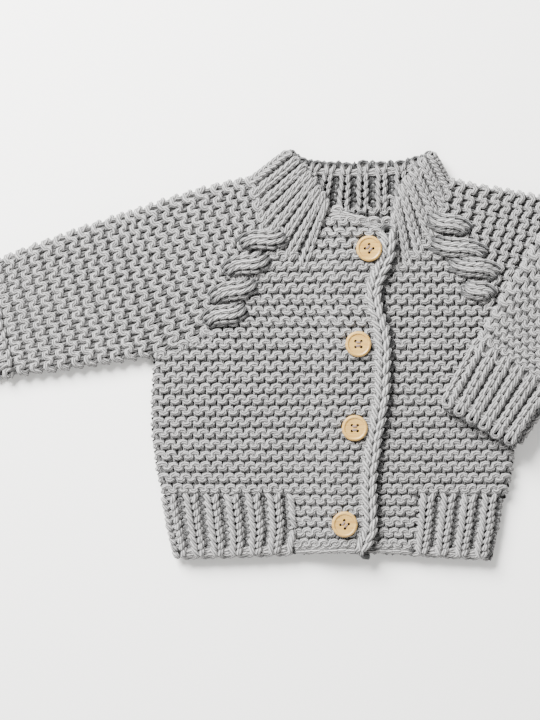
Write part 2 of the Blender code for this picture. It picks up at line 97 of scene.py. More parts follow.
HOLE_SPACING = 4.0
HOLE_EDGE = 0.5  # from the middle of a hole out to where its thread goes down
THREAD_GAP = 0.6  # between the two threads of a stitch
BUTTON_CROWN = 3.3  # from the band up to the dished middle of a button
RIB_SPREAD = 0.62  # how much wider than even the plain columns of a rib spread over the purl ones
PURL_SHARE = 0.45  # relief of a rib's purl columns, as a share of that of the plain ones
FLAT_RELIEF, FLAT_SHIFT = 1.4, 0.9  # relief of the back's stitches and shift of its ribs, under its weight
ROUND_SHADE = 0.5  # how much higher the yarn's upper side counts than its middle in its painted shade, so that its top is painted lighter
LOWEST = 0.05  # least height of the yarn over the table
SHARPEST = 1.3  # most that a sharp corner of the dark shell of painted shade is drawn in, in shares of a face's
STITCH_PARTS = 12
# Height of the yarn at each twelfth of a knit stitch, from its foot to its head, as a share of the relief
PLAIN_RISE = np.array([-1, -0.3, 0.7, 0.9, 0.4, -0.8, -1])  # with a knit row above
RIDGE_RISE = np.array([-1, -0.85, -0.3, 0.1, 0.6, 0.95, 1])  # with a purl row above
FINE_STEPS, FINE_SIDES = 12, 6  # steps along a stitch, and sides of the yarn
COARSE_STEPS, COARSE_SIDES = 8, 5
BAKE_MARGIN, STRIP_MARGIN = 0.002, 0.04  # round the layout for baking, and round each yarn's strip in it

# The stage, in metres
TABLE_HALF, TABLE_TOP = 3.0, -0.0004
CAMERA_PLACE, LENS, SENSOR = (-0.049, 0, 1.2), 85.7, 36

Spot = namedtuple("Spot", "x y")
Station = namedtuple("Station", "front fold back")
Rib = namedtuple("Rib", "base top")
Button = namedtuple("Button", "x y turned")
Style = namedtuple("Style", "kind relief tall neck shift")
Cut = namedtuple("Cut", "width walls held lies_on")


def lengths_along(rows, first, second):
    """Distance from the first row to each, as the mean along two of its places."""
    total, lengths = 0.0, [0.0]
    for a, b in zip(rows, rows[1:]):
        total += sum(math.dist(getattr(a, place), getattr(b, place)) for place in (first, second)) / 2
        lengths.append(total)
    return np.array(lengths)


def outline(*places):
    return tuple(Spot(*place) for place in places)


def stations(*rows):
    """Each row has places on the front seam, the fold and the back seam. A closed tube's seams are one."""
    return tuple(Station(*outline(*row, *([row[0]] if len(row) == 2 else []))) for row in rows)


def collar_ribs(*rows):
    """Each row has the foot of a rib and its top."""
    return tuple(Rib(*outline(*row)) for row in rows)


SIDE_RIGHT = outline(
    (-113.5, -137), (-119, -115.5), (-123, -94), (-127.5, -77),
    (-131, -49), (-131, -24.5), (-129.5, 2),
)
SIDE_LEFT = outline(
    (107, -138), (111.5, -115.5), (115, -94), (118.5, -82.5),
    (121, -63), (124, -38.5), (127.5, -17.5), (131.5, 2),
)
HEM = outline((-113.5, -137), (-73.5, -136), (0, -133), (54, -135), (107, -138))
RIB_TOP = -91.5
BRAID = outline(
    (12, -134.5), (20, -118), (19.5, -84), (22.5, -56), (28, -28), (29.5, 7),
    (27.5, 23), (24, 34.5), (21.5, 46), (24, 55.5), (28, 64.5), (32, 73),
    (33.2, 84.5), (30.5, 93),
)
BAND_RIGHT_SIDE = outline((-33.5, -134.5), (-33, -91), (-22.5, 67), (-10, 105.5))
BAND_LEFT_SIDE = outline((54, -135), (52.5, -91), (36.5, 67), (36, 92))
UNDERLAP = outline((-1.5, -134.5), (3.5, 100))

# The raglan seams from the underarm up to the collar, and the collar's base from there down to the band
RAGLAN_RIGHT = outline(
    (-129.5, 2), (-110.5, 8.5), (-94.5, 16), (-84, 29.5), (-75.5, 47),
    (-66, 64.5), (-48.5, 86),
)
RAGLAN_LEFT = outline(
    (131.5, 2), (117.5, 12.5), (107, 28), (98.5, 47.5), (91, 64.5), (81, 78.5),
    (66, 95),
)
COLLAR_BASE_RIGHT = outline((-22.5, 67), (-38, 74), (-48.5, 86))
COLLAR_BASE_LEFT = outline((42, 65), (49.5, 70), (59, 81), (66, 95))
RAGLAN_BACK_RIGHT = outline(
    (-129.5, 2), (-119, 6), (-105, 22.5), (-88, 38.5), (-71.5, 61.5),
    (-54.5, 85.5), (-35, 112),
)
RAGLAN_BACK_LEFT = outline(
    (131.5, 2), (123, 7), (112, 21), (96.5, 38.5), (80.5, 61.5), (65, 84),
    (45.5, 112),
)
BACK_NECK = outline((3.5, 105), (16, 107), (35, 112))  # half of its edge, from the middle out
BAND_TOP = outline((28.5, 93.5), (14, 98.5), (3.5, 102), (-10, 105.5))
MIDDLE = outline((0, -140), (0, 120))
LAP_EDGE = tuple(Spot(spot.x - 4, spot.y) for spot in BRAID)  # the lapped band under the plait

SLEEVE_RIGHT = stations(
    ((-48.5, 86), (-62.5, 128), (-35, 112)),
    ((-66, 64.5), (-80.5, 124), (-54.5, 85.5)),
    ((-75.5, 47), (-101.5, 118.5), (-71.5, 61.5)),
    ((-84, 29.5), (-122.5, 112), (-88, 38.5)),
    ((-94.5, 16), (-136.5, 107), (-105, 22.5)),
    ((-110.8, 9.2), (-147, 103.5), (-119.5, 7.6)),
    ((-130.5, 2.4), (-156, 101)),
    ((-161, -2), (-185.5, 90.5)),
    ((-196, -7), (-218.5, 78.5)),
    ((-228, -11), (-246.5, 67)),
)
SLEEVE_LEFT = stations(
    ((66, 95), (77, 127), (45.5, 112)),
    ((81, 78.5), (87.5, 124), (65, 84)),
    ((91, 64.5), (103.5, 121), (80.5, 61.5)),
    ((98.5, 47.5), (119, 118.5), (96.5, 38.5)),
    ((107, 28), (133, 115.5), (112, 21)),
    ((117.8, 13.2), (143.5, 113.5), (123, 8.6)),
    ((132.5, 2.4), (148.5, 112.6)),
    ((199, 10.5), (152.5, 112)),
)
FOREARM_LEFT = stations(
    ((199, 10.5), (152.5, 112)),
    ((186, -7.5), (131.5, 76.5)),
    ((169.5, -18), (110.5, 42)),
    ((151, -24), (92.5, 11)),
)
CUFF_RIGHT = stations(
    ((-228, -11), (-246.5, 67)),
    ((-230, -10), (-246.5, 62.5)),
    ((-248.5, -14.5), (-264, 51)),
    ((-270, -18), (-284, 40)),
)
CUFF_LEFT = stations(
    ((147, -24), (92.5, 11)),
    ((135, -40.5), (82, -8.5)),
    ((124, -56.5), (72, -26.5)),
)
COLLAR_RIGHT = collar_ribs(
    ((-61.5, 127.5), (-39, 144)),
    ((-55.5, 107), (-28, 131.5)),
    ((-48.5, 86), (-20.5, 120.5)),
    ((-38, 74), (-15, 112)),
    ((-22.5, 67), (-10, 105.5)),
)
COLLAR_LEFT = collar_ribs(
    ((75, 126.5), (65, 143)),
    ((70.5, 110.5), (57.5, 136)),
    ((66, 95), (50, 127)),
    ((59, 81), (45, 119)),
    ((49.5, 70), (40.5, 111)),
    ((42, 65), (37.5, 101)),
    ((36.5, 67), (36, 92)),
)
COLLAR_BACK = collar_ribs(
    ((-61.5, 127.5), (-39, 144)),
    ((-48.2, 119.8), (-31, 139)),
    ((-35, 112), (-21.5, 134.5)),
    ((-16, 107), (-9, 133.5)),
    ((3.5, 105), (5, 133)),
    ((25, 107), (25, 133.5)),
    ((45.5, 112), (45, 135)),
    ((60.2, 119.3), (56, 139)),
    ((75, 126.5), (65, 143)),
)
# Ends of the crossings of each cable, which lie across the raglan seam, from the collar down
CABLE_RIGHT = (
    ((-70.5, 79), (-37, 88)), ((-81, 60), (-49.5, 72.5)), ((-90.5, 40.5), (-58, 56)),
    ((-95, 25), (-65.5, 38.5)),
)
CABLE_LEFT = (
    ((89, 88), (61, 101)), ((101, 72), (62, 84)), ((110, 58), (75, 70.5)),
    ((105, 42.5), (86, 54)),
)
BUTTONS = (Button(19.4, 77, 45), Button(12, 11, 0), Button(9.5, -47, 0), Button(2.5, -113.5, 50))

# How each panel's cut is measured: its width runs across the garment, or is the short or the long side of the
# smallest box round the panel, and goes round both walls of a tube. Then how the panel lies, and on what
CUTS = {
    "back": Cut("across", 1, "laid", "table"),
    "back_hem_rib": Cut("across", 1, "laid", "table"),
    "front_right": Cut("across", 1, "laid", "back_cloth"),
    "front_right_hem_rib": Cut("across", 1, "laid", "back_hem_rib_cloth"),
    "band_right": Cut("short", 1, "laid", "band_left_cloth"),
    "front_left": Cut("across", 1, "laid", "back_cloth"),
    "front_left_hem_rib": Cut("across", 1, "laid", "back_hem_rib_cloth"),
    "band_left": Cut("across", 1, "laid", "back_cloth"),
    "sleeve_right": Cut("short", 2, "laid", "table"),
    "cuff_right": Cut("long", 2, "laid", "table"),
    "sleeve_left_upper": Cut("short", 2, "laid", "table"),
    "sleeve_left_forearm": Cut("short", 2, "folded", "sleeve_left_upper_cloth"),
    "cuff_left": Cut("long", 2, "folded", "front_left_cloth"),
    "collar_back": Cut("long", 1, "laid", "table"),
    "collar_right": Cut("long", 1, "folded", "collar_back_cloth"),
    "collar_left": Cut("long", 1, "folded", "collar_back_cloth"),
}


def layer(number):
    """Height of the middle of a layer of cloth, the lowest being 1."""
    return WALL / 2 + (number - 1) * LAYER


def placed(name, data):
    """A new object that shows the data."""
    made = bpy.data.objects.new(name, data)
    bpy.context.scene.collection.objects.link(made)
    return made


def mix(a, b, t):
    return a + (b - a) * t


def across(line, y):
    """X of an outline at heights y, where y rises along the line."""
    return np.interp(y, [spot.y for spot in line], [spot.x for spot in line])


def along(line, x):
    """Y of an edge at places x, where x rises along the line."""
    return np.interp(x, [spot.x for spot in line], [spot.y for spot in line])


def eased(t):
    t = np.clip(t, 0, 1)
    return t * t * (3 - 2 * t)


def chance(i, k, salt):
    """A number from -1 to 1 for each stitch, always the same for the same stitch."""
    value = np.sin(12.9898 * i + 78.233 * k + 37.719 * salt) * 43758.5453
    return 2 * (value - np.floor(value)) - 1


# ---------------------------------------------------------------- cloth


def folded(a):
    """(inset, rise) of the cloth's middle at a distance a along it from the rim of a fold."""
    quarter = FOLD * math.pi / 2
    angle = np.clip(a, 0, quarter) / FOLD
    inset = RIM + FOLD - FOLD * np.cos(angle) + np.maximum(a - quarter, 0)
    rise = FOLD * np.sin(angle)
    return inset, rise


class Body:
    """A flat panel of the body. Its columns are counted from the inner outline out to the side."""

    # painted shade: how much darker all its stitches are painted, in shares of the relief
    painted_darkening = 0.0

    def __init__(self, inner, outer, columns, number, bottom, top, rows, low=None, high=None, height=None):
        self.inner, self.outer, self.columns, self.number = inner, outer, columns, number
        self.bottom, self.top, self.rows = bottom, top, rows
        self.low, self.high, self.height = low, high, height
        self.side = self.up = 1 if outer[0].x > inner[0].x else -1

    def y(self, r):
        return mix(self.bottom, self.top, r / self.rows)

    def width(self, y):
        """Of one stitch at height y. The outermost ones go round the side to the seam."""
        y = np.minimum(y, self.outer[-1].y)
        reach = self.side * (across(self.outer, y) - across(self.inner, y))
        return (reach - RIM - FOLD + FOLD * math.pi / 2) / self.columns

    def point(self, c, r):
        y = self.y(r)
        width = self.width(y)
        start = across(self.inner, y)
        way = 1 if self.number == 1 else -1
        inset, rise = folded((self.columns - c) * width)
        turned = across(self.outer, y) - self.side * inset
        flat = start + self.side * c * width
        beyond = y > self.outer[-1].y
        x = np.where(beyond, flat, turned)
        z = np.where(beyond, layer(self.number), layer(self.number) + way * (FOLD - rise))
        if self.height is not None:
            z = z + self.height(x, y)
        if self.bottom < RIB_TOP - 1:
            y = y + (along(HEM, x) - HEM_LEVEL) * np.clip((RIB_TOP - y) / (RIB_TOP - self.bottom), 0, 1)
        return np.stack([x, y, z], axis=1)

    def extent(self, k):
        y = float(self.y(k))
        width = float(self.width(y))
        low = 0.0 if self.low is None else max(0.0, self.low(y, width))
        high = float(self.columns) if self.high is None else min(float(self.columns), self.high(y, width))
        return low, high


def turned_elbow(x, y, z, past, tube, way):
    """Bends rows past the elbow a quarter turn: way 1 up from the upper sleeve, -1 down from the forearm."""
    edge = tube.stations[-1 if way > 0 else 0]
    run = math.dist(edge.front, edge.fold)
    outward = ((edge.fold.y - edge.front.y) / run, -(edge.fold.x - edge.front.x) / run)
    axis = layer(1) + 1.5 * LAYER
    angle = np.clip(past / ELBOW_ROWS, 0, 1) * math.pi / 2
    swing = way * (axis - z) * np.sin(angle)
    return x + outward[0] * swing, y + outward[1] * swing, axis - (axis - z) * np.cos(angle)


class Tube:
    """A sleeve. Its columns are counted from the fold along the top of the arm, its rows from the neck."""

    # painted shade: how much darker all its stitches are painted, in shares of the relief
    painted_darkening = 0.0

    def __init__(self, stations, low, high, width, rows, columns, closed_from=0, elbow=0, up=-1):
        self.stations, self.low, self.high, self.elbow, self.up = stations, low, high, elbow, up
        self.width, self.rows, self.columns, self.closed_from = width, rows, columns, closed_from
        self.lengths = lengths_along(stations, "front", "fold")

    def place(self, r):
        """Station numbers of rows."""
        return np.interp(r / self.rows * self.lengths[-1], self.lengths, np.arange(len(self.lengths)))

    def corner(self, which, station):
        spots = [getattr(s, which) for s in self.stations]
        numbers = np.arange(len(spots))
        return tuple(np.interp(station, numbers, [getattr(spot, axis) for spot in spots]) for axis in "xy")

    def stitch(self, station, which="front"):
        """Width of one stitch, and the length of one wall from fold to seam."""
        front, fold = self.corner(which, station), self.corner("fold", station)
        run = np.hypot(front[0] - fold[0], front[1] - fold[1])
        closed = run - 2 * (RIM + FOLD) + FOLD * math.pi
        share = np.clip(station - self.closed_from + 1, 0, 1)
        return mix(self.width, closed / self.columns, share), run

    def point(self, c, r):
        station = self.place(np.clip(r, 0, self.rows))
        past = np.clip(r - self.rows, 0, None) + np.clip(-r, 0, None)
        front_wall = c >= 0
        fold = self.corner("fold", station)
        x, y, z = np.empty_like(c), np.empty_like(c), np.empty_like(c)
        middle = (layer(self.low) + layer(self.high)) / 2
        for which, mask, way in (("front", front_wall, 1), ("back", ~front_wall, -1)):
            width, run = self.stitch(station, which)
            a = np.abs(c) * width
            inset, rise = folded(a)
            seam = self.corner(which, station)
            ux, uy = (seam[0] - fold[0]) / run, (seam[1] - fold[1]) / run
            closed = station >= self.closed_from
            whole = run - 2 * (RIM + FOLD) + FOLD * math.pi
            far_inset, far_rise = folded(np.maximum(whole - a, 0))
            second = closed & (a > whole / 2)
            reach = np.where(second, run - far_inset, inset)
            height = np.where(second, far_rise, rise)
            x = np.where(mask, fold[0] + ux * reach, x)
            y = np.where(mask, fold[1] + uy * reach, y)
            z = np.where(mask, middle + way * height, z)
        outer = 1 if r.mean() > self.rows / 2 else -1
        if past.any() and outer == self.elbow:
            x, y, z = turned_elbow(x, y, z, past, self, outer)
        elif past.any():
            before, nxt = self.stations[-2:] if outer > 0 else self.stations[:2]
            dx, dy = nxt.fold.x - before.fold.x, nxt.fold.y - before.fold.y
            run = math.hypot(dx, dy)
            step = self.lengths[-1] / self.rows
            sign = np.where(r < 0, -1, 1)
            x = x + sign * dx / run * past * step
            y = y + sign * dy / run * past * step
        return np.stack([x, y, z], axis=1)

    def extent(self, k):
        station = self.place(np.array([min(max(k, 0), self.rows)]))
        if station[0] >= self.closed_from:
            return -float(self.columns), float(self.columns)
        reach = []
        for which in ("front", "back"):
            width, run = self.stitch(station, which)
            reach.append(float((run[0] - RIM - FOLD + FOLD * math.pi / 2) / width[0]) + SEAM_REACH)
        return -reach[1], reach[0]


class Collar:
    """A stretch of the ribbed collar. Columns run along its base, rows from there to the cast-off edge."""

    def __init__(self, ribs, number, columns, rows, folds, up, stand, painted_darkening):
        self.ribs, self.number, self.columns, self.rows = ribs, number, columns, rows
        self.folds, self.up, self.stand, self.painted_darkening = folds, up, stand, painted_darkening
        self.lengths = lengths_along(ribs, "base", "top")

    def point(self, c, r):
        total = self.lengths[-1]
        place = c / self.columns * total
        way = 1 if self.number == 1 else -1
        z = np.full_like(c, layer(self.number))
        for end in self.folds:
            a = place if end == 0 else total - place
            inset, rise = folded(np.maximum(a, 0))
            z = np.where(a < total / 2, layer(self.number) + way * (FOLD - rise), z)
            near = inset if end == 0 else total - inset
            place = np.where(a < total / 2, near, place)
        numbers = np.arange(len(self.ribs))
        s = np.interp(place, self.lengths, numbers)
        base = [np.interp(s, numbers, [getattr(rib.base, axis) for rib in self.ribs]) for axis in "xy"]
        top = [np.interp(s, numbers, [getattr(rib.top, axis) for rib in self.ribs]) for axis in "xy"]
        t = r / self.rows
        return np.stack([mix(base[0], top[0], t), mix(base[1], top[1], t), z + self.stand * eased(t)], axis=1)

    def extent(self, k):
        return 0.0, float(self.columns)


class Strip:
    """A narrow band that runs along a line, one or two columns wide. side(s) and rise(s) move its middle."""

    # painted shade: how much darker all its stitches are painted, in shares of the relief
    up, painted_darkening = 1, 0.0

    def __init__(self, line, z, width, pitch, columns=1, side=None, rise=None, dome=0.0):
        steps = [math.dist(a, b) for a, b in zip(line, line[1:])]
        self.line = np.array([2 * np.array(line[0]) - line[1], *line, 2 * np.array(line[-1]) - line[-2]])
        self.lengths = np.array([-steps[0], 0.0, *np.cumsum(steps), sum(steps) + steps[-1]])
        self.z, self.width, self.columns = z, width, columns
        self.side, self.rise, self.dome = side, rise, dome
        self.rows = max(1, round(sum(steps) / pitch))
        self.pitch = sum(steps) / self.rows

    def spot(self, s):
        return np.interp(s, self.lengths, self.line[:, 0]), np.interp(s, self.lengths, self.line[:, 1])

    def middle(self, s):
        x, y = self.spot(s)
        x0, y0 = self.spot(s - 3.0)
        x1, y1 = self.spot(s + 3.0)
        run = np.maximum(np.hypot(x1 - x0, y1 - y0), 1e-6)
        nx, ny = (y1 - y0) / run, -(x1 - x0) / run
        side = self.side(s) if self.side else np.zeros_like(s)
        return x + nx * side, y + ny * side

    def point(self, c, r):
        s = r * self.pitch
        x, y = self.middle(s)
        x1, y1 = self.middle(s + 0.5)
        x0, y0 = self.middle(s - 0.5)
        run = np.maximum(np.hypot(x1 - x0, y1 - y0), 1e-6)
        nx, ny = (y1 - y0) / run, -(x1 - x0) / run
        reach = c - self.columns / 2
        x, y = x + nx * reach * self.width, y + ny * reach * self.width
        z = self.z - self.dome * (2 * reach / self.columns) ** 2
        if self.rise is not None:
            z = z + self.rise(s)
        return np.stack([x, y, z], axis=1)

    def extent(self, k):
        return -TAIL, self.columns + TAIL


# ---------------------------------------------------------------- stitches


def garter(i, k):
    """Every second row is purl."""
    return np.where(np.mod(k, 2) == 0, 1.0, -1.0) * np.ones_like(i)


def ribbed(i, k):
    """Every second column is purl."""
    return np.where(np.mod(i, 2) == 0, 1.0, -1.0)


def stockinette(i, k):
    return np.ones_like(i)


GARTER = Style(garter, 1.75, 1.95, 0.18, 0)
RIB = Style(ribbed, 1.7, 1.75, 0.22, 1.9)
COLLAR_RIB = Style(ribbed, 1.35, 1.7, 0.2, 1.5)
CHAIN = Style(stockinette, 1.4, 1.9, 0.26, 0)
ROPE = Style(stockinette, 1.3, 1.8, 0.16, 0)
EDGE = Style(stockinette, 0.8, 1.7, 0.2, 0)


def loops(cloth, k, style, steps, uneven):
    """Middle line of the yarn of row k, with the cloth's normals and the level of painted shade along it,
    from the yarn's height.
    """
    kind, relief, tall, neck, shift = style
    low, high = cloth.extent(k)
    t = np.arange(math.ceil(low * steps), math.floor(high * steps) + 1) / steps
    if len(t) < 4:
        return None
    i = np.floor(t + 1e-9)
    f = t - i
    own, above = kind(i, k), kind(i, k + 1)
    left, right = kind(i - 1, k), kind(i + 1, k)
    half = np.where((own * above > 0)[None, :], PLAIN_RISE[:, None], RIDGE_RISE[:, None]) * own
    keys = np.concatenate([half, half[-2::-1]])
    keys[0], keys[-1] = -(left + own) / 2, -(own + right) / 2
    place = np.clip(f * STITCH_PARTS, 0, STITCH_PARTS - 0.001)
    n = np.floor(place + 1e-9).astype(int)
    cells = np.arange(len(t))
    h = mix(keys[n, cells], keys[n + 1, cells], place - n)
    window = np.sin(math.pi * f) ** 2
    c = t + neck * np.sin(4 * math.pi * f) + uneven * 0.5 * window * chance(i, k, 1)
    r = k - tall / 2 * np.cos(2 * math.pi * f) + uneven * window * chance(i, k, 2)
    h = h * relief * (1 + uneven * chance(i, k, 3))
    if kind is ribbed:
        wave = math.pi * (c - 0.5)
        h = h * np.where(own < 0, PURL_SHARE, 1.0) + shift * np.cos(wave)
        c = c + RIB_SPREAD / math.pi * np.sin(wave)
    point = cloth.point(c, r)
    step = 0.02
    over = cloth.point(c + step, r) - cloth.point(c - step, r)
    ahead = cloth.point(c, r + step) - cloth.point(c, r - step)
    normal = unit(np.cross(over, ahead)) * cloth.up
    # Painted shade: the lower the yarn, the darker it is painted, and a piece deep in the neck is painted
    # darker all over
    painted_shade_level = h / relief - cloth.painted_darkening
    # The sides and ends of a plait or a cable, below its middle, are painted darker as shade
    if isinstance(cloth, Strip):
        painted_shade_level = painted_shade_level + (point[:, 2] - cloth.z) / CABLE_SHADE
    return point + normal * h[:, None], normal, painted_shade_level


def unit(vectors):
    return vectors / np.maximum(np.linalg.norm(vectors, axis=1, keepdims=True), 1e-9)


def run_along(path):
    """Distance along a path at each of its points."""
    return np.concatenate([[0], np.cumsum(np.linalg.norm(np.diff(path, axis=0), axis=1))])


def yarn(name, paths, thickness, sides, material):
    """Round yarn along each path, all in one mesh. A path is (points, normals, levels of painted shade), its
    points in millimetres.
    """
    angles = 2 * math.pi * np.arange(sides) / sides
    points, painted_shade_levels, faces, strips, around, lengths = [], [], [], [], [], []
    base = 0
    for index, (path, normal, height) in enumerate(paths):
        tangent = unit(np.gradient(path, axis=0))
        side = unit(np.cross(tangent, normal))
        over = np.cross(side, tangent)
        ring = path[:, None, :] + thickness / 2 * (np.cos(angles)[None, :, None] * side[:, None, :]
                                                   + np.sin(angles)[None, :, None] * over[:, None, :])
        points.append(ring.reshape(-1, 3))
        # Painted shade of each vertex: darker on the yarn's underside, lighter on its upper side
        painted_shade_levels.append((height[:, None] + ROUND_SHADE * np.sin(angles)[None, :]).ravel())
        count = len(path)
        grid = base + np.arange(count * sides).reshape(count, sides)
        following = np.roll(grid, -1, axis=1)
        faces.append(np.stack([grid[:-1], following[:-1], following[1:], grid[1:]], axis=-1).reshape(-1, 4))
        strips.append(np.full((len(faces[-1]), 4), index))
        run = run_along(path)
        column, row = np.tile(np.arange(sides), count - 1), np.repeat(np.arange(count - 1), sides)
        lengths.append(np.stack([run[row], run[row], run[row + 1], run[row + 1]], axis=1))
        around.append(np.stack([column, column + 1, column + 1, column], axis=1) / sides)
        base += count * sides
    points = np.concatenate(points) * MM
    points[:, 2] = np.maximum(points[:, 2], LOWEST * MM)
    faces = np.concatenate(faces).astype(np.int32)
    lengths, around, strips = np.concatenate(lengths), np.concatenate(around), np.concatenate(strips)

    mesh = bpy.data.meshes.new(name)
    mesh.vertices.add(len(points))
    mesh.vertices.foreach_set("co", points.astype(np.float32).ravel())
    mesh.loops.add(faces.size)
    mesh.loops.foreach_set("vertex_index", faces.ravel())
    mesh.polygons.add(len(faces))
    mesh.polygons.foreach_set("loop_start", np.arange(0, faces.size, 4, dtype=np.int32))
    mesh.update(calc_edges=True)
    mesh.shade_smooth()
    longest = max(run_along(path)[-1] for path, _, _ in paths)
    for layout, u, v in (
        ("Yarn", around, lengths * MM),
        ("OFBake", BAKE_MARGIN + (1 - 2 * BAKE_MARGIN) * lengths / longest,
         (strips + STRIP_MARGIN + (1 - 2 * STRIP_MARGIN) * around) / len(paths)),
    ):
        uv = mesh.uv_layers.new(name=layout)
        uv.data.foreach_set("uv", np.stack([u, v], axis=-1).astype(np.float32).ravel())
    # The level of painted shade, which the wool's shader turns into darker and lighter colour
    rise = mesh.attributes.new("Painted shade level", "FLOAT", "POINT")
    rise.data.foreach_set("value", np.concatenate(painted_shade_levels).astype(np.float32))
    mesh.materials.append(material)
    made = placed(name, mesh)
    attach(made, "root")
    return made


def rows_of(cloth, style, steps=FINE_STEPS, start=0, stop=None):
    """The yarn's path in each row of a piece of cloth."""
    uneven = bpy.context.scene.cardigan_sizes.unevenness
    paths = []
    for k in range(start, cloth.rows + 1 if stop is None else stop):
        path = loops(cloth, k, style, steps, uneven)
        if path is not None:
            paths.append(path)
    return paths


def inside(node, slot):
    """Painted shade between the stitches of a knitted panel: the node's own form, drawn in to a thin dark
    shell.
    """
    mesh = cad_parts[node].data.copy()
    shape = bmesh.new()
    shape.from_mesh(mesh)
    bmesh.ops.remove_doubles(shape, verts=shape.verts, dist=1e-5)
    bmesh.ops.recalc_face_normals(shape, faces=shape.faces)
    shape.normal_update()
    moves = [vertex.normal * min(vertex.calc_shell_factor(), SHARPEST) for vertex in shape.verts]
    for vertex, move in zip(shape.verts, moves):
        vertex.co -= move * DRAWN_IN * MM
    shape.to_mesh(mesh)
    shape.free()
    mesh.materials.clear()
    mesh.materials.append(materials()["Inside"])
    made = placed(node + "_cloth", mesh)
    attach(made, "root")
    return made


# ---------------------------------------------------------------- materials


def noise(nodes, links, vector, scale, detail=2):
    """Fac of a noise texture."""
    node = nodes.new("ShaderNodeTexNoise")
    node.inputs["Scale"].default_value = scale
    node.inputs["Detail"].default_value = detail
    links.new(vector, node.inputs["Vector"])
    return node.outputs["Fac"]


def ply_group():
    """Shader group: the plies twisted round a yarn, with painted shade in the grooves between them, low yarn
    painted darker and its upper side lighter, and the height of their surface.
    """
    group = bpy.data.node_groups.new("Twisted plies", "ShaderNodeTree")
    for name, kind, value in (
        ("Colour", "NodeSocketColor", (0.5, 0.5, 0.5, 1)), ("Plies", "NodeSocketFloat", 3.0),
        ("Twist length", "NodeSocketFloat", 0.028), ("Depth", "NodeSocketFloat", 0.3),
    ):
        socket = group.interface.new_socket(name, in_out="INPUT", socket_type=kind)
        socket.default_value = value
    group.interface.new_socket("Colour", in_out="OUTPUT", socket_type="NodeSocketColor")
    group.interface.new_socket("Height", in_out="OUTPUT", socket_type="NodeSocketFloat")
    nodes, links = group.nodes, group.links
    given, out = nodes.new("NodeGroupInput"), nodes.new("NodeGroupOutput")

    def math_node(operation, *values):
        node = nodes.new("ShaderNodeMath")
        node.operation = operation
        for socket, value in zip(node.inputs, values):
            if isinstance(value, (int, float)):
                socket.default_value = value
            else:
                links.new(value, socket)
        return node.outputs[0]

    uv = nodes.new("ShaderNodeUVMap")
    uv.uv_map = "Yarn"
    split = nodes.new("ShaderNodeSeparateXYZ")
    links.new(uv.outputs[0], split.inputs[0])
    turn, run = split.outputs[0], split.outputs[1]
    place = nodes.new("ShaderNodeTexCoord").outputs["Object"]
    wander = math_node("MULTIPLY", math_node("SUBTRACT", noise(nodes, links, place, 250, 1), 0.5), 0.6)
    along_twist = math_node("DIVIDE", run, given.outputs["Twist length"])
    phase = math_node("MULTIPLY", math_node("SUBTRACT", along_twist, turn), given.outputs["Plies"])
    wave = math_node("SINE", math_node("MULTIPLY", math_node("ADD", phase, wander), math.tau))
    ridge = math_node("MULTIPLY_ADD", wave, 0.5, 0.5)
    rounded = math_node("POWER", ridge, 0.8)
    fibres = noise(nodes, links, place, 1100, 3)
    groove_shade = given.outputs["Depth"]
    # Painted shade: the grooves between the plies are painted darker
    shade = math_node("MULTIPLY_ADD", rounded, groove_shade, math_node("SUBTRACT", 1.0, groove_shade))
    grainy = math_node("MULTIPLY_ADD", fibres, 1.8, 0.1)
    cloudy = math_node("MULTIPLY_ADD", noise(nodes, links, place, 45), 0.16, 0.92)
    # Painted shade: low yarn and its underside are painted darker, its upper side lighter
    rise = nodes.new("ShaderNodeAttribute")
    rise.attribute_name = "Painted shade level"
    low = nodes.new("ShaderNodeMapRange")
    low.interpolation_type = "SMOOTHSTEP"
    for socket, value in (("From Min", -0.4), ("From Max", 1.05), ("To Min", 0.05), ("To Max", 1.1)):
        low.inputs[socket].default_value = value
    links.new(rise.outputs["Fac"], low.inputs["Value"])
    total = math_node("MULTIPLY", math_node("MULTIPLY", shade, grainy),
                      math_node("MULTIPLY", cloudy, low.outputs[0]))
    tint = nodes.new("ShaderNodeVectorMath")
    tint.operation = "SCALE"
    links.new(given.outputs["Colour"], tint.inputs[0])
    links.new(total, tint.inputs["Scale"])
    links.new(tint.outputs[0], out.inputs["Colour"])
    height = math_node("ADD", rounded, math_node("MULTIPLY", fibres, 0.2))
    links.new(height, out.inputs["Height"])
    return group


def blank(name):
    """A new material with its shader, nodes and links."""
    material = bpy.data.materials.new(name)
    material.use_nodes = True
    tree = material.node_tree
    return material, tree.nodes["Principled BSDF"], tree.nodes, tree.links


def wool(name, colour, sizes):
    """Soft yarn of twisted plies."""
    material, shader, nodes, links = blank(name)
    group = nodes.new("ShaderNodeGroup")
    group.node_tree = bpy.data.node_groups.get("Twisted plies") or ply_group()
    group.inputs["Colour"].default_value = (*colour, 1)
    group.inputs["Plies"].default_value = sizes.plies
    group.inputs["Twist length"].default_value = sizes.twist
    group.inputs["Depth"].default_value = sizes.painted_groove_shade
    bump = nodes.new("ShaderNodeBump")
    bump.inputs["Strength"].default_value = 1.0
    bump.inputs["Distance"].default_value = 0.0006
    links.new(group.outputs["Colour"], shader.inputs["Base Color"])
    links.new(group.outputs["Height"], bump.inputs["Height"])
    links.new(bump.outputs["Normal"], shader.inputs["Normal"])
    shader.inputs["Roughness"].default_value = 0.95
    shader.inputs["Specular IOR Level"].default_value = 0.2
    shader.inputs["Sheen Weight"].default_value = 0.35
    shader.inputs["Sheen Roughness"].default_value = 0.6
    return material


def plain(name, colour, roughness=0.9):
    material, shader, _, _ = blank(name)
    shader.inputs["Base Color"].default_value = (*colour, 1)
    shader.inputs["Roughness"].default_value = roughness
    shader.inputs["Specular IOR Level"].default_value = 0.1
    return material


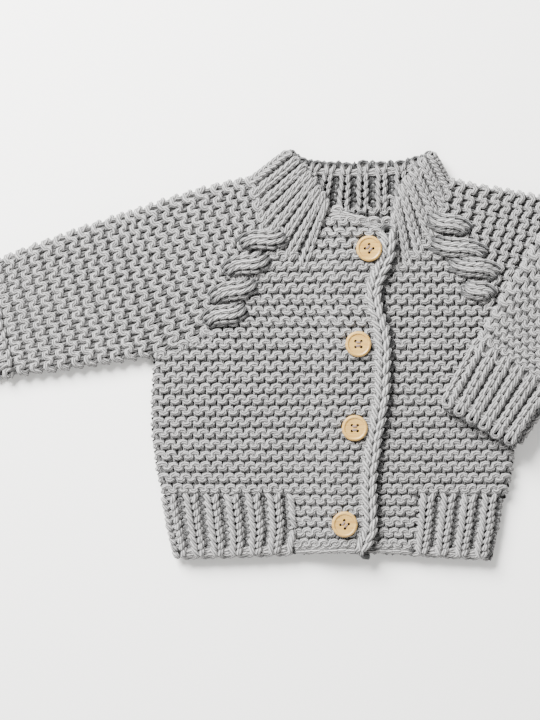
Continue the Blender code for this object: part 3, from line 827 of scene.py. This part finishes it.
def wood(name, colour):
    """Pale varnished wood with fine straight grain."""
    material, shader, nodes, links = blank(name)
    coordinates = nodes.new("ShaderNodeTexCoord")
    mapping = nodes.new("ShaderNodeMapping")
    mapping.inputs["Scale"].default_value = (90, 900, 300)
    ramp = nodes.new("ShaderNodeMix")
    ramp.data_type = "RGBA"
    ramp.inputs[6].default_value = (colour[0] * 0.78, colour[1] * 0.68, colour[2] * 0.55, 1)
    ramp.inputs[7].default_value = (*colour, 1)
    links.new(coordinates.outputs["Object"], mapping.inputs["Vector"])
    spread = nodes.new("ShaderNodeMapRange")
    spread.inputs["From Min"].default_value = 0.3
    spread.inputs["From Max"].default_value = 0.6
    links.new(noise(nodes, links, mapping.outputs[0], 1.0, 4), spread.inputs["Value"])
    links.new(spread.outputs[0], ramp.inputs[0])
    links.new(ramp.outputs[2], shader.inputs["Base Color"])
    shader.inputs["Roughness"].default_value = 0.38
    shader.inputs["Coat Weight"].default_value = 0.25
    shader.inputs["Coat Roughness"].default_value = 0.25
    return material


def materials():
    """All the garment's materials, made on their first use."""
    if "Wool" not in bpy.data.materials:
        sizes, colours = bpy.context.scene.cardigan_sizes, bpy.context.scene.cardigan_colours
        wool("Wool", colours.wool, sizes)
        # The same wool painted lighter, as painted light, for the raised cables and plait
        wool("Wool painted lighter", colours.edge, sizes)
        # Painted shade: the almost black shell under the yarn stands for the shadow between the stitches
        plain("Inside", colours.inside)
        wood("Button wood", colours.wood)
        plain("Sewing thread", colours.thread, 0.7)
    return bpy.data.materials


# ---------------------------------------------------------------- pieces


def garter_rows(top):
    """Rows from the top of the hem ribs up to a height."""
    return math.ceil((top - RIB_TOP) / GARTER_ROW)


def level(rows):
    """Height of a row, counted from the top of the hem ribs."""
    return RIB_TOP + rows * GARTER_ROW


def lap(x, y):
    """How far the lapped band stands above the front."""
    start = across(BAND_RIGHT_SIDE, y) + LAP_START
    end = across(UNDERLAP, y) - WALL / 2
    return LAYER * eased((x - start) / (end - start))


def front_edges(inner, band_side, collar_base, raglan, columns):
    """Two functions of a height and a stitch's width there: the first and the last column of a front."""
    side = 1 if raglan[0].x > inner[0].x else -1

    def low(y, width):
        at_collar = y > collar_base[0].y
        edge = across(collar_base if at_collar else band_side, y)
        return side * float(edge - across(inner, y)) / width - (TUCK if at_collar else JOIN)

    def high(y, width):
        if y <= raglan[0].y:
            return columns
        return side * float(across(raglan, y) - across(inner, y)) / width + TUCK

    return low, high


def right_edges():
    return front_edges(LAP_EDGE, BAND_RIGHT_SIDE, COLLAR_BASE_RIGHT, RAGLAN_RIGHT, FRONT_RIGHT_COLUMNS)


def left_edges():
    return front_edges(UNDERLAP, BAND_LEFT_SIDE, COLLAR_BASE_LEFT, RAGLAN_LEFT, FRONT_LEFT_COLUMNS)


def hem_line(first, last):
    """The hem's edge from one x to another, drawn in by a little."""
    return tuple(Spot(x, float(along(HEM, x)) + EDGE_INSET) for x in np.linspace(first, last, 12))


def cast_off_line(ribs):
    """The cast-off edge of a stretch of collar, drawn in by a little."""
    line = []
    for rib in ribs:
        share = EDGE_INSET / math.dist(rib.base, rib.top)
        line.append(Spot(mix(rib.top.x, rib.base.x, share), mix(rib.top.y, rib.base.y, share)))
    return tuple(line)


def edge_chain(line, z, width=EDGE_WIDTH, rise=None):
    """The chain of loops that a cast-on or cast-off edge shows along a line."""
    return within(Strip(line, z, width, EDGE_PITCH, rise=rise, dome=EDGE_DOME), EDGE, COARSE_STEPS)


def lapped_chain(line):
    """The same along an edge of the lapped band, which rises with it over the lap."""
    straight = Strip(line, 0, EDGE_WIDTH, EDGE_PITCH)
    return edge_chain(line, layer(2) + EDGE_LIFT, rise=lambda s: lap(*straight.spot(s)))


def within(strip, style, steps=FINE_STEPS):
    """Its rows, less those whose loops would pass its ends."""
    return rows_of(strip, style, steps, 1, strip.rows)


def dressed(node, paths, thickness, slot, sides=FINE_SIDES, wool_name="Wool"):
    """Lays yarn in place of a node, and under a panel's yarn a thin dark shell of painted shade."""
    strands = yarn(node + "_yarn", paths, thickness / MM, sides, materials()[wool_name])
    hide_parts(node)
    if node in CUTS:
        # the dark shell of painted shade under the yarn
        cloth = inside(node, slot)
    return strands


def knit_fronts(sizes):
    for node, inner, outline, columns, top, edges in (
        ("front_right", LAP_EDGE, SIDE_RIGHT, FRONT_RIGHT_COLUMNS, RAGLAN_RIGHT[-1].y, right_edges()),
        ("front_left", UNDERLAP, SIDE_LEFT, FRONT_LEFT_COLUMNS, RAGLAN_LEFT[-1].y, left_edges()),
    ):
        rows = garter_rows(top)
        panel = Body(inner, outline, columns, 2, RIB_TOP, level(rows), rows, *edges)
        dressed(node, rows_of(panel, GARTER), sizes.yarn, "garter_knit")


def knit_back(sizes):
    """The back is two halves that meet at its middle, since its two sides have different outlines."""
    rows = garter_rows(BACK_NECK[-1].y - 1)
    columns = BACK_COLUMNS // 2
    panels, hems = [], []
    for outline, raglan in ((SIDE_RIGHT, RAGLAN_BACK_RIGHT), (SIDE_LEFT, RAGLAN_BACK_LEFT)):

        def low(y, width):
            return 0 if y < BACK_NECK[0].y else float(across(BACK_NECK, y)) / width

        def high(y, width, raglan=raglan):
            return columns if y <= raglan[0].y else abs(float(across(raglan, y))) / width

        half = Body(MIDDLE, outline, columns, 1, RIB_TOP, level(rows), rows, low, high)
        # The back is painted darker, a third as much as the back of the collar, as shade
        half.painted_darkening = NECK_PAINTED_DARKENING / 3
        panels += rows_of(half, GARTER._replace(relief=FLAT_RELIEF), COARSE_STEPS)
        hem = Body(MIDDLE, outline, columns, 1, HEM_START, RIB_TOP, RIB_ROWS)
        hems += rows_of(hem, RIB._replace(relief=FLAT_RELIEF, shift=FLAT_SHIFT), COARSE_STEPS, stop=RIB_ROWS)
    dressed("back", panels, sizes.yarn, "garter_knit", COARSE_SIDES)
    dressed("back_hem_rib", hems, sizes.rib_yarn, "rib_knit", COARSE_SIDES)


def knit_hem_ribs(sizes):
    for node, inner, outline, columns, edges, ends in (
        ("front_right_hem_rib", LAP_EDGE, SIDE_RIGHT, FRONT_RIGHT_COLUMNS, right_edges(), (-111, -34)),
        ("front_left_hem_rib", UNDERLAP, SIDE_LEFT, FRONT_LEFT_COLUMNS, left_edges(), (54, 104)),
    ):
        hem = Body(inner, outline, columns, 2, HEM_START, RIB_TOP, RIB_ROWS, *edges)
        paths = rows_of(hem, RIB, stop=RIB_ROWS) + edge_chain(hem_line(*ends), layer(2) + EDGE_LIFT)
        dressed(node, paths, sizes.rib_yarn, "rib_knit")


def knit_bands(sizes):
    """The buttonhole band, lapped over the button band."""
    foot = level(-BAND_ROWS_BELOW)

    def right_low(y, width):
        return 0 if y < BAND_TOP[0].y else float(across(LAP_EDGE, y) - across(BAND_TOP, y)) / width

    def right_high(y, width):
        return float(across(LAP_EDGE, y) - across(BAND_RIGHT_SIDE, y)) / width

    def left_high(y, width):
        return float(across(BAND_LEFT_SIDE, y) - across(UNDERLAP, y)) / width

    rows = garter_rows(BAND_TOP[-1].y)
    lapped = Body(LAP_EDGE, SIDE_RIGHT, FRONT_RIGHT_COLUMNS, 2, foot, level(rows), rows + BAND_ROWS_BELOW,
                  right_low, right_high, lap)
    neck = tuple(Spot(spot.x, spot.y - EDGE_INSET) for spot in BAND_TOP)
    paths = rows_of(lapped, GARTER, start=2) + lapped_chain(hem_line(-33, 14)) + lapped_chain(neck)
    dressed("band_right", paths, sizes.yarn, "garter_knit")
    rows = garter_rows(BAND_LEFT_SIDE[-1].y)
    under = Body(UNDERLAP, SIDE_LEFT, FRONT_LEFT_COLUMNS, 2, foot, level(rows), rows + BAND_ROWS_BELOW, None,
                 left_high)
    paths = rows_of(under, GARTER, start=2) + edge_chain(hem_line(6, 52), layer(2) + EDGE_LIFT)
    dressed("band_left", paths, sizes.yarn, "garter_knit")


def knit_front_edge(sizes):
    chain = Strip(BRAID, layer(3) + PLAIT_LIFT, PLAIT_WIDTH, PLAIT_PITCH, dome=PLAIT_DOME)
    # The plait's wool is painted lighter, as painted light where it stands higher
    dressed("front_edge_chain", within(chain, CHAIN), sizes.edge_yarn, "raised_knit", wool_name="Wool painted lighter")


def knit_sleeves(sizes):
    for node, tube, start, stop, steps in (
        ("sleeve_right", Tube(SLEEVE_RIGHT, 1, 2, width=8.4, rows=44, columns=12, closed_from=6), -1, 45,
         FINE_STEPS),
        ("sleeve_left_upper", Tube(SLEEVE_LEFT, 1, 2, width=8.4, rows=27, columns=12, closed_from=6, elbow=1,
                                   up=1), -1, 31, COARSE_STEPS),
        ("sleeve_left_forearm", Tube(FOREARM_LEFT, 3, 4, width=8.6, rows=24, columns=12, elbow=-1),
         -ELBOW_ROWS, 25, FINE_STEPS),
    ):
        dressed(node, rows_of(tube, GARTER, steps, start, stop), sizes.sleeve_yarn, "garter_knit",
                FINE_SIDES if steps == FINE_STEPS else COARSE_SIDES)


def knit_cuffs(sizes):
    cuff = Tube(CUFF_RIGHT, 1, 2, width=6.4, rows=7, columns=12)
    dressed("cuff_right", rows_of(cuff, RIB, COARSE_STEPS), sizes.rib_yarn, "rib_knit", COARSE_SIDES)
    cuff = Tube(CUFF_LEFT, 3, 4, width=5.2, rows=7, columns=12)
    cast_off = edge_chain((Spot(74.5, -25), Spot(122.5, -52.5)), layer(4) + EDGE_LIFT)
    dressed("cuff_left", rows_of(cuff, RIB) + cast_off, sizes.rib_yarn, "rib_knit")


def knit_collar(sizes):
    for node, ribs, number, columns, rows, folds, up, stand, painted_darkening in (
        ("collar_right", COLLAR_RIGHT, 2, 15, 7, (0,), 1, COLLAR_STAND, 0.0),
        ("collar_left", COLLAR_LEFT, 2, 13, 7, (0,), -1, COLLAR_STAND, 0.0),
        # the back of the collar, deep inside the neck, is painted darker as shade
        ("collar_back", COLLAR_BACK, 1, 19, 5, (0, 1), 1, 0.0, NECK_PAINTED_DARKENING),
    ):
        stretch = Collar(ribs, number, columns, rows, folds, up, stand, painted_darkening)
        top = layer(number) + stand + COLLAR_EDGE_LIFT
        cast_off = edge_chain(cast_off_line(ribs[1:]), top, COLLAR_EDGE_WIDTH)
        dressed(node, rows_of(stretch, COLLAR_RIB) + cast_off, sizes.collar_yarn, "rib_knit")


def knit_cables(sizes):
    """Each crossing is a strand of two columns that comes up, passes over the seam and dives again."""
    for node, crossings, hand in (("cable_right", CABLE_RIGHT, -1), ("cable_left", CABLE_LEFT, 1)):
        paths = []
        for ends in crossings:
            run = math.dist(*ends)

            def rise(s, run=run):
                return CABLE_RISE * (np.sin(math.pi * np.clip(s / run, 0, 1)) - 1)

            def side(s, run=run, hand=hand):
                return hand * CABLE_SWAY * np.sin(math.tau * np.clip(s / run, 0, 1))

            strand = Strip(ends, layer(2) + CABLE_LIFT, CABLE_COLUMN, CABLE_PITCH, columns=2, side=side,
                           rise=rise, dome=CABLE_DOME)
            paths += within(strand, ROPE)
        # The cables' wool is painted lighter, as painted light where it stands higher
        dressed(node, paths, sizes.yarn, "raised_knit", wool_name="Wool painted lighter")


def sew_buttons(sizes):
    """The wooden buttons keep their own form. Each thread is two double stitches between pairs of holes."""
    reach = HOLE_SPACING / 2 - HOLE_EDGE
    bend = ((-reach, -2.6), (-reach, -0.4), (-reach + 0.35, 0.2), (0, 0.35), (reach - 0.35, 0.2),
            (reach, -0.4), (reach, -2.6))
    crown = layer(3) + WALL / 2 + BUTTON_CROWN
    for number, button in enumerate(BUTTONS, 1):
        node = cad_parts[f"button_{number}"]
        node.data.materials.clear()
        node.data.materials.append(materials()["Button wood"])
        angle = math.radians(button.turned)
        way = np.array([math.cos(angle), math.sin(angle), 0])
        over = np.array([-math.sin(angle), math.cos(angle), 0])
        middle = np.array([button.x, button.y, crown])
        paths = []
        for offset in (-reach, -reach + THREAD_GAP, reach - THREAD_GAP, reach):
            points = np.array([middle + way * s + over * offset + [0, 0, z] for s, z in bend])
            paths.append((points, np.tile(over, (len(bend), 1)), np.ones(len(bend))))
        thread = yarn(f"button_thread_{number}_strands", paths, sizes.thread / MM, FINE_SIDES,
                      materials()["Sewing thread"])
        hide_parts(f"button_thread_{number}")


def lay_stage(colours, light):
    """The pale table, the room's light, a soft window at the upper left, and the camera straight above."""
    mesh = bpy.data.meshes.new("table")
    corners = [(x * TABLE_HALF, y * TABLE_HALF, 0) for x, y in ((-1, -1), (1, -1), (1, 1), (-1, 1))]
    mesh.from_pydata(corners, [], [(0, 1, 2, 3)])
    mesh.materials.append(plain("Table", colours.table, 0.8))
    table = placed("table", mesh)
    table.location.z = TABLE_TOP
    world = bpy.data.worlds.new("Room")
    bpy.context.scene.world = world
    world.use_nodes = True
    world.node_tree.nodes["Background"].inputs["Color"].default_value = (1, 1, 1, 1)
    world.node_tree.nodes["Background"].inputs["Strength"].default_value = light.room
    for name, place, size, power in (
        ("window", (-0.75, 1.0, 1.0), 0.8, light.window), ("fill", (0.1, -1.5, 1.1), 1.2, light.fill),
    ):
        lamp = bpy.data.lights.new(name, "AREA")
        lamp.size = size
        lamp.energy = power
        hung = placed(name, lamp)
        hung.location = place
        hung.rotation_euler = (-Vector(place)).to_track_quat("-Z", "Y").to_euler()
    lens = bpy.data.cameras.new("camera")
    lens.lens = LENS
    lens.sensor_width = SENSOR
    lens.clip_start = 0.01
    camera = placed("camera", lens)
    camera.location = CAMERA_PLACE
    bpy.context.scene.camera = camera


# ---------------------------------------------------------------- add-on


def length(name, description, default):
    return bpy.props.FloatProperty(name=name, description=description, default=default, min=0, unit="LENGTH",
                                   subtype="DISTANCE", precision=4)


def colour(name, description, default):
    return bpy.props.FloatVectorProperty(name=name, description=description, default=default, min=0, max=1,
                                         subtype="COLOR")


def number(name, description, default, unit="NONE"):
    return bpy.props.FloatProperty(name=name, description=description, default=default, min=0, unit=unit)


class KnitSizes(bpy.types.PropertyGroup):
    """Sizes of the yarns and how they are twisted and knitted."""

    yarn: length("Yarn", "Thickness of the yarn of the body and the cables", 0.0035)
    rib_yarn: length("Rib yarn", "Thickness of the yarn of the springy ribs", 0.0039)
    sleeve_yarn: length("Sleeve yarn", "Thickness of the yarn of the looser sleeves", 0.0037)
    collar_yarn: length("Collar yarn", "Thickness of the yarn of the tighter collar", 0.0031)
    edge_yarn: length("Edge yarn", "Thickness of the plait along the lapped edge", 0.0045)
    thread: length("Thread", "Thickness of the thread that sews the buttons on", 0.00055)
    unevenness: number("Unevenness", "How much the stitches differ from each other", 0.14)
    plies: number("Plies", "Plies twisted together in the yarn", 6.0)
    twist: length("Twist", "Length of yarn in which its plies go round once", 0.038)
    # Painted shade in the grooves between the plies
    painted_groove_shade: number("Painted groove shade", "How dark the grooves between the plies are, from 0 to 1", 0.8)


class KnitColours(bpy.types.PropertyGroup):
    """Colours of the materials."""

    wool: colour("Wool", "Soft grey wool of the cloth", (0.285, 0.277, 0.27))
    # Painted light: the same wool, painted lighter where it stands higher
    edge: colour("Raised wool painted lighter", "The same wool where it stands higher, on the cables and the plait",
                 (0.35, 0.341, 0.332))
    # Painted shade: the dark shell under the yarn stands for the shadow between the stitches
    inside: colour("Inside", "Shadow between the stitches", (0.014, 0.0135, 0.013))
    wood: colour("Button wood", "Pale varnished wood", (0.47, 0.29, 0.078))
    thread: colour("Sewing thread", "Thread of the buttons", (0.22, 0.16, 0.155))
    table: colour("Table", "Plain pale table", (0.93, 0.92, 0.89))


class StageLight(bpy.types.PropertyGroup):
    """Strength of the lights."""

    window: number("Window", "Power of the soft light at the upper left", 165, "POWER")
    fill: number("Fill", "Power of the weak light at the foot of the table", 20, "POWER")
    room: number("Room", "Strength of the even light of the room", 0.5)


class CARDIGAN_OT_fronts(bpy.types.Operator):
    """Knit the two fronts in garter stitch"""

    bl_idname = "cardigan.fronts"
    bl_label = "Knit the fronts"

    def execute(self, context):
        knit_fronts(context.scene.cardigan_sizes)
        return {"FINISHED"}


class CARDIGAN_OT_back(bpy.types.Operator):
    """Knit the back and the rib along its hem"""

    bl_idname = "cardigan.back"
    bl_label = "Knit the back"

    def execute(self, context):
        knit_back(context.scene.cardigan_sizes)
        return {"FINISHED"}


class CARDIGAN_OT_hem_ribs(bpy.types.Operator):
    """Knit the ribs along the hems of the two fronts"""

    bl_idname = "cardigan.hem_ribs"
    bl_label = "Knit the hem ribs"

    def execute(self, context):
        knit_hem_ribs(context.scene.cardigan_sizes)
        return {"FINISHED"}


class CARDIGAN_OT_bands(bpy.types.Operator):
    """Knit the buttonhole band and the button band under it"""

    bl_idname = "cardigan.bands"
    bl_label = "Knit the bands"

    def execute(self, context):
        knit_bands(context.scene.cardigan_sizes)
        return {"FINISHED"}


class CARDIGAN_OT_front_edge(bpy.types.Operator):
    """Plait the edge of the lapped band"""

    bl_idname = "cardigan.front_edge"
    bl_label = "Plait the front edge"

    def execute(self, context):
        knit_front_edge(context.scene.cardigan_sizes)
        return {"FINISHED"}


class CARDIGAN_OT_sleeves(bpy.types.Operator):
    """Knit the stretched sleeve and the two halves of the folded one"""

    bl_idname = "cardigan.sleeves"
    bl_label = "Knit the sleeves"

    def execute(self, context):
        knit_sleeves(context.scene.cardigan_sizes)
        return {"FINISHED"}


class CARDIGAN_OT_cuffs(bpy.types.Operator):
    """Knit the ribbed cuffs"""

    bl_idname = "cardigan.cuffs"
    bl_label = "Knit the cuffs"

    def execute(self, context):
        knit_cuffs(context.scene.cardigan_sizes)
        return {"FINISHED"}


class CARDIGAN_OT_collar(bpy.types.Operator):
    """Knit the three stretches of the ribbed collar"""

    bl_idname = "cardigan.collar"
    bl_label = "Knit the collar"

    def execute(self, context):
        knit_collar(context.scene.cardigan_sizes)
        return {"FINISHED"}


class CARDIGAN_OT_cables(bpy.types.Operator):
    """Knit the raised cables on the raglan seams"""

    bl_idname = "cardigan.cables"
    bl_label = "Knit the cables"

    def execute(self, context):
        knit_cables(context.scene.cardigan_sizes)
        return {"FINISHED"}


class CARDIGAN_OT_buttons(bpy.types.Operator):
    """Varnish the four buttons and sew them on"""

    bl_idname = "cardigan.buttons"
    bl_label = "Sew the buttons on"

    def execute(self, context):
        sew_buttons(context.scene.cardigan_sizes)
        return {"FINISHED"}


class CARDIGAN_OT_stage(bpy.types.Operator):
    """Set up the table, the lights and the camera"""

    bl_idname = "cardigan.stage"
    bl_label = "Set the stage"

    def execute(self, context):
        lay_stage(context.scene.cardigan_colours, context.scene.cardigan_light)
        return {"FINISHED"}


OPERATORS = (
    CARDIGAN_OT_stage, CARDIGAN_OT_back, CARDIGAN_OT_fronts, CARDIGAN_OT_hem_ribs, CARDIGAN_OT_bands,
    CARDIGAN_OT_front_edge, CARDIGAN_OT_sleeves, CARDIGAN_OT_cuffs, CARDIGAN_OT_collar, CARDIGAN_OT_cables,
    CARDIGAN_OT_buttons,
)
GROUPS = (("cardigan_sizes", KnitSizes), ("cardigan_colours", KnitColours), ("cardigan_light", StageLight))


class CARDIGAN_PT_sidebar(bpy.types.Panel):
    """Lists the settings and the steps of the cardigan"""

    bl_label = "Cardigan"
    bl_idname = "CARDIGAN_PT_sidebar"
    bl_space_type = "VIEW_3D"
    bl_region_type = "UI"
    bl_category = "Cardigan"

    def draw(self, context):
        for name, group in GROUPS:
            settings = getattr(context.scene, name)
            box = self.layout.box()
            for field in group.__annotations__:
                box.prop(settings, field)
        for operator in OPERATORS:
            self.layout.operator(operator.bl_idname)


def register():
    for name, group in GROUPS:
        bpy.utils.register_class(group)
        setattr(bpy.types.Scene, name, bpy.props.PointerProperty(type=group))
    for operator in OPERATORS:
        bpy.utils.register_class(operator)
    bpy.utils.register_class(CARDIGAN_PT_sidebar)


def unregister():
    bpy.utils.unregister_class(CARDIGAN_PT_sidebar)
    for operator in reversed(OPERATORS):
        bpy.utils.unregister_class(operator)
    for name, group in reversed(GROUPS):
        delattr(bpy.types.Scene, name)
        bpy.utils.unregister_class(group)


def main():
    register()
    bpy.ops.cardigan.stage()
    bpy.ops.cardigan.back()
    bpy.ops.cardigan.fronts()
    bpy.ops.cardigan.hem_ribs()
    bpy.ops.cardigan.bands()
    bpy.ops.cardigan.front_edge()
    bpy.ops.cardigan.sleeves()
    bpy.ops.cardigan.cuffs()
    bpy.ops.cardigan.collar()
    bpy.ops.cardigan.cables()
    bpy.ops.cardigan.buttons()


if __name__ == "__main__":
    main()
